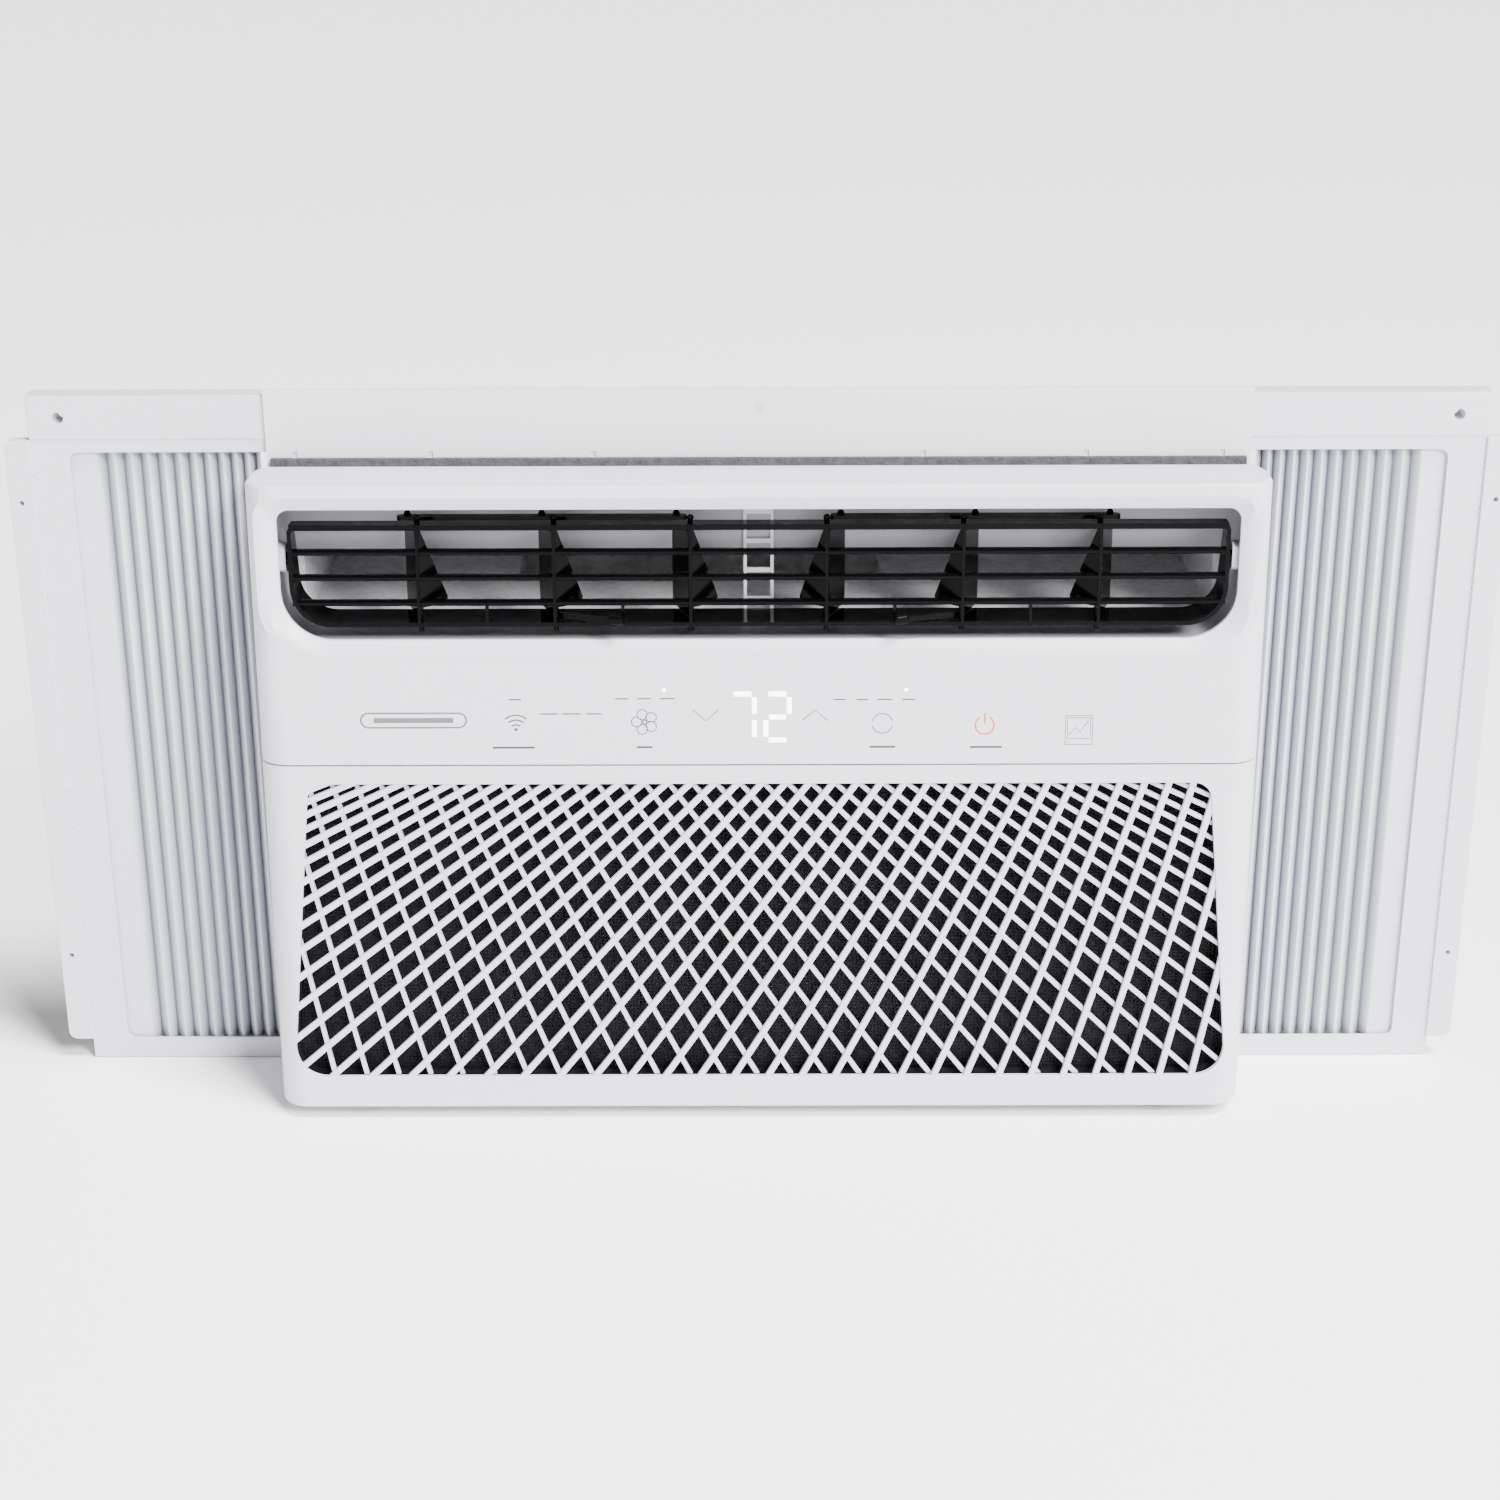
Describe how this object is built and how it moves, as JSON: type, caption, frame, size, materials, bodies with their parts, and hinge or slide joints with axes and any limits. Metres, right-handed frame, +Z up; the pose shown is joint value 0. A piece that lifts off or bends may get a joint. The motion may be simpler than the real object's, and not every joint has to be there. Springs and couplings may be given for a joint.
{
  "type": "window air conditioner",
  "caption": "Window air conditioner: leaning plastic front, tilting black louver with vanes, tilt-out diamond-lattice intake, sliding pleated side curtains, steel cabinet with cooling set.",
  "frame": {"origin": "middle of the underside, half way between the front edge and the rear guard", "axes": "+X to the right seen from the room, +Y towards outdoors, +Z up"},
  "size_m": [0.7228, 0.3449, 0.3592],
  "materials": {
    "fascia_plastic": "fine satin white ABS",
    "duct_plastic": "light grey moulded plastic",
    "louver_plastic": "high-gloss black ABS",
    "curtain_plastic": "satin white PVC",
    "bellows_vinyl": "soft white vinyl, pleated",
    "rail_paint": "white powder coat",
    "cabinet_paint": "grey-white baked enamel on galvanised steel",
    "galvanised": "galvanised sheet",
    "screw_steel": "zinc plated",
    "seal_foam": "closed-cell grey foam",
    "fin_aluminium": "bare fin stock",
    "copper_tube": "drawn copper tube",
    "compressor_paint": "black baked enamel",
    "rubber_black": "moulded rubber",
    "foam_white": "expanded foam, light grey skin",
    "wheel_plastic": "glass-filled dark plastic",
    "board_green": "solder-masked board",
    "display_white": "translucent light block",
    "filter_plastic": "dark moulded filter rim",
    "filter_net": "fine woven filter net",
    "capacitor_can": "drawn can"
  },
  "bodies": {
    "cabinet": {"base_pan": "galvanised", "cabinet_shell": "cabinet_paint", "rear_guard": "cabinet_paint", "front_chassis": "fascia_plastic", "front_panel": "fascia_plastic", "outlet_duct": "duct_plastic", "duct_divider": "fascia_plastic", "control_board": "board_green", "display_module": "display_white", "cord_gland": "rubber_black", "top_rail": "rail_paint", "top_seal": "seal_foam", "rail_screws": "screw_steel", "bottom_guide": "curtain_plastic", "left_retainer": "curtain_plastic", "right_retainer": "curtain_plastic", "left_bellows": "bellows_vinyl", "right_bellows": "bellows_vinyl", "evaporator_fins": "fin_aluminium", "evaporator_tubes": "copper_tube", "evaporator_plates": "galvanised", "condenser_fins": "fin_aluminium", "condenser_tubes": "copper_tube", "condenser_plates": "galvanised", "compressor": "compressor_paint", "compressor_mounts": "rubber_black", "terminal_cover": "rubber_black", "accumulator": "compressor_paint", "fan_motor": "compressor_paint", "motor_bracket": "galvanised", "air_channel": "foam_white", "fan_shroud": "galvanised", "partition": "galvanised", "suction_pipe": "copper_tube", "discharge_pipe": "copper_tube", "capillary_tube": "copper_tube", "filter_drier": "copper_tube", "electrical_box": "galvanised", "capacitor": "capacitor_can", "drain_plug": "rubber_black", "cabinet_screws": "screw_steel"},
    "fan_rotor": {"motor_shaft": "screw_steel", "blower_wheel": "wheel_plastic", "axial_fan": "wheel_plastic"},
    "intake_grille": {"grille_cover": "fascia_plastic", "lattice_front": "fascia_plastic", "lattice_back": "fascia_plastic", "filter_frame": "filter_plastic", "filter_mesh": "filter_net"},
    "louver": {"louver_frame": "louver_plastic"},
    "vane_left_1": {"vane_left_1": "louver_plastic"},
    "vane_left_2": {"vane_left_2": "louver_plastic"},
    "vane_left_3": {"vane_left_3": "louver_plastic"},
    "link_left": {"link_left": "louver_plastic"},
    "left_curtain": {"left_curtain_frame": "curtain_plastic"},
    "vane_right_1": {"vane_right_1": "louver_plastic"},
    "vane_right_2": {"vane_right_2": "louver_plastic"},
    "vane_right_3": {"vane_right_3": "louver_plastic"},
    "link_right": {"link_right": "louver_plastic"},
    "right_curtain": {"right_curtain_frame": "curtain_plastic"}
  },
  "joints": [
    {"name": "fan_spin", "type": "hinge", "parent": "cabinet", "child": "fan_rotor", "pos_m": [-0.03, 0.0275, 0.152], "axis": [0, 1, 0], "continuous": true},
    {"name": "grille_tilt", "type": "hinge", "parent": "cabinet", "child": "intake_grille", "pos_m": [0, -0.1651, 0.01277], "axis": [1, 0, 0], "range_deg": [0, 50]},
    {"name": "louver_tilt", "type": "hinge", "parent": "cabinet", "child": "louver", "pos_m": [0, -0.14383, 0.28649], "axis": [1, 0, 0], "range_deg": [-12, 15]},
    {"name": "vane_left_2_turn", "type": "hinge", "parent": "louver", "child": "vane_left_2", "pos_m": [-0.09645, -0.14422, 0.28001], "axis": [0, 0.0593, 0.9982], "range_deg": [-35, 4]},
    {"name": "vane_left_1_turn", "type": "hinge", "parent": "louver", "child": "vane_left_1", "pos_m": [-0.03215, -0.14422, 0.28001], "axis": [0, 0.0593, 0.9982], "range_deg": [-35, 4]},
    {"name": "vane_left_3_turn", "type": "hinge", "parent": "louver", "child": "vane_left_3", "pos_m": [-0.16075, -0.14422, 0.28001], "axis": [0, 0.0593, 0.9982], "range_deg": [-35, 4]},
    {"name": "link_left_pivot", "type": "hinge", "parent": "vane_left_2", "child": "link_left", "pos_m": [-0.10361, -0.12209, 0.30173], "axis": [0, 0.0593, 0.9982], "range_deg": [-4, 35]},
    {"name": "vane_right_2_turn", "type": "hinge", "parent": "louver", "child": "vane_right_2", "pos_m": [0.09645, -0.14422, 0.28001], "axis": [0, 0.0593, 0.9982], "range_deg": [-4, 35]},
    {"name": "vane_right_1_turn", "type": "hinge", "parent": "louver", "child": "vane_right_1", "pos_m": [0.03215, -0.14422, 0.28001], "axis": [0, 0.0593, 0.9982], "range_deg": [-4, 35]},
    {"name": "vane_right_3_turn", "type": "hinge", "parent": "louver", "child": "vane_right_3", "pos_m": [0.16075, -0.14422, 0.28001], "axis": [0, 0.0593, 0.9982], "range_deg": [-4, 35]},
    {"name": "link_right_pivot", "type": "hinge", "parent": "vane_right_2", "child": "link_right", "pos_m": [0.10361, -0.12209, 0.30173], "axis": [0, 0.0593, 0.9982], "range_deg": [-35, 4]},
    {"name": "left_curtain_slide", "type": "slide", "parent": "cabinet", "child": "left_curtain", "axis": [-1, 0, 0], "range_m": [-0.06, 0.09], "deforming": ["left_bellows"]},
    {"name": "right_curtain_slide", "type": "slide", "parent": "cabinet", "child": "right_curtain", "axis": [1, 0, 0], "range_m": [-0.06, 0.09], "deforming": ["right_bellows"]}
  ],
  "couplings": [
    {"joint": "vane_left_1_turn", "follows": "vane_left_2_turn", "ratio": 1},
    {"joint": "vane_left_3_turn", "follows": "vane_left_2_turn", "ratio": 1},
    {"joint": "link_left_pivot", "follows": "vane_left_2_turn", "ratio": -1},
    {"joint": "vane_right_1_turn", "follows": "vane_right_2_turn", "ratio": 1},
    {"joint": "vane_right_3_turn", "follows": "vane_right_2_turn", "ratio": 1},
    {"joint": "link_right_pivot", "follows": "vane_right_2_turn", "ratio": -1}
  ]
}
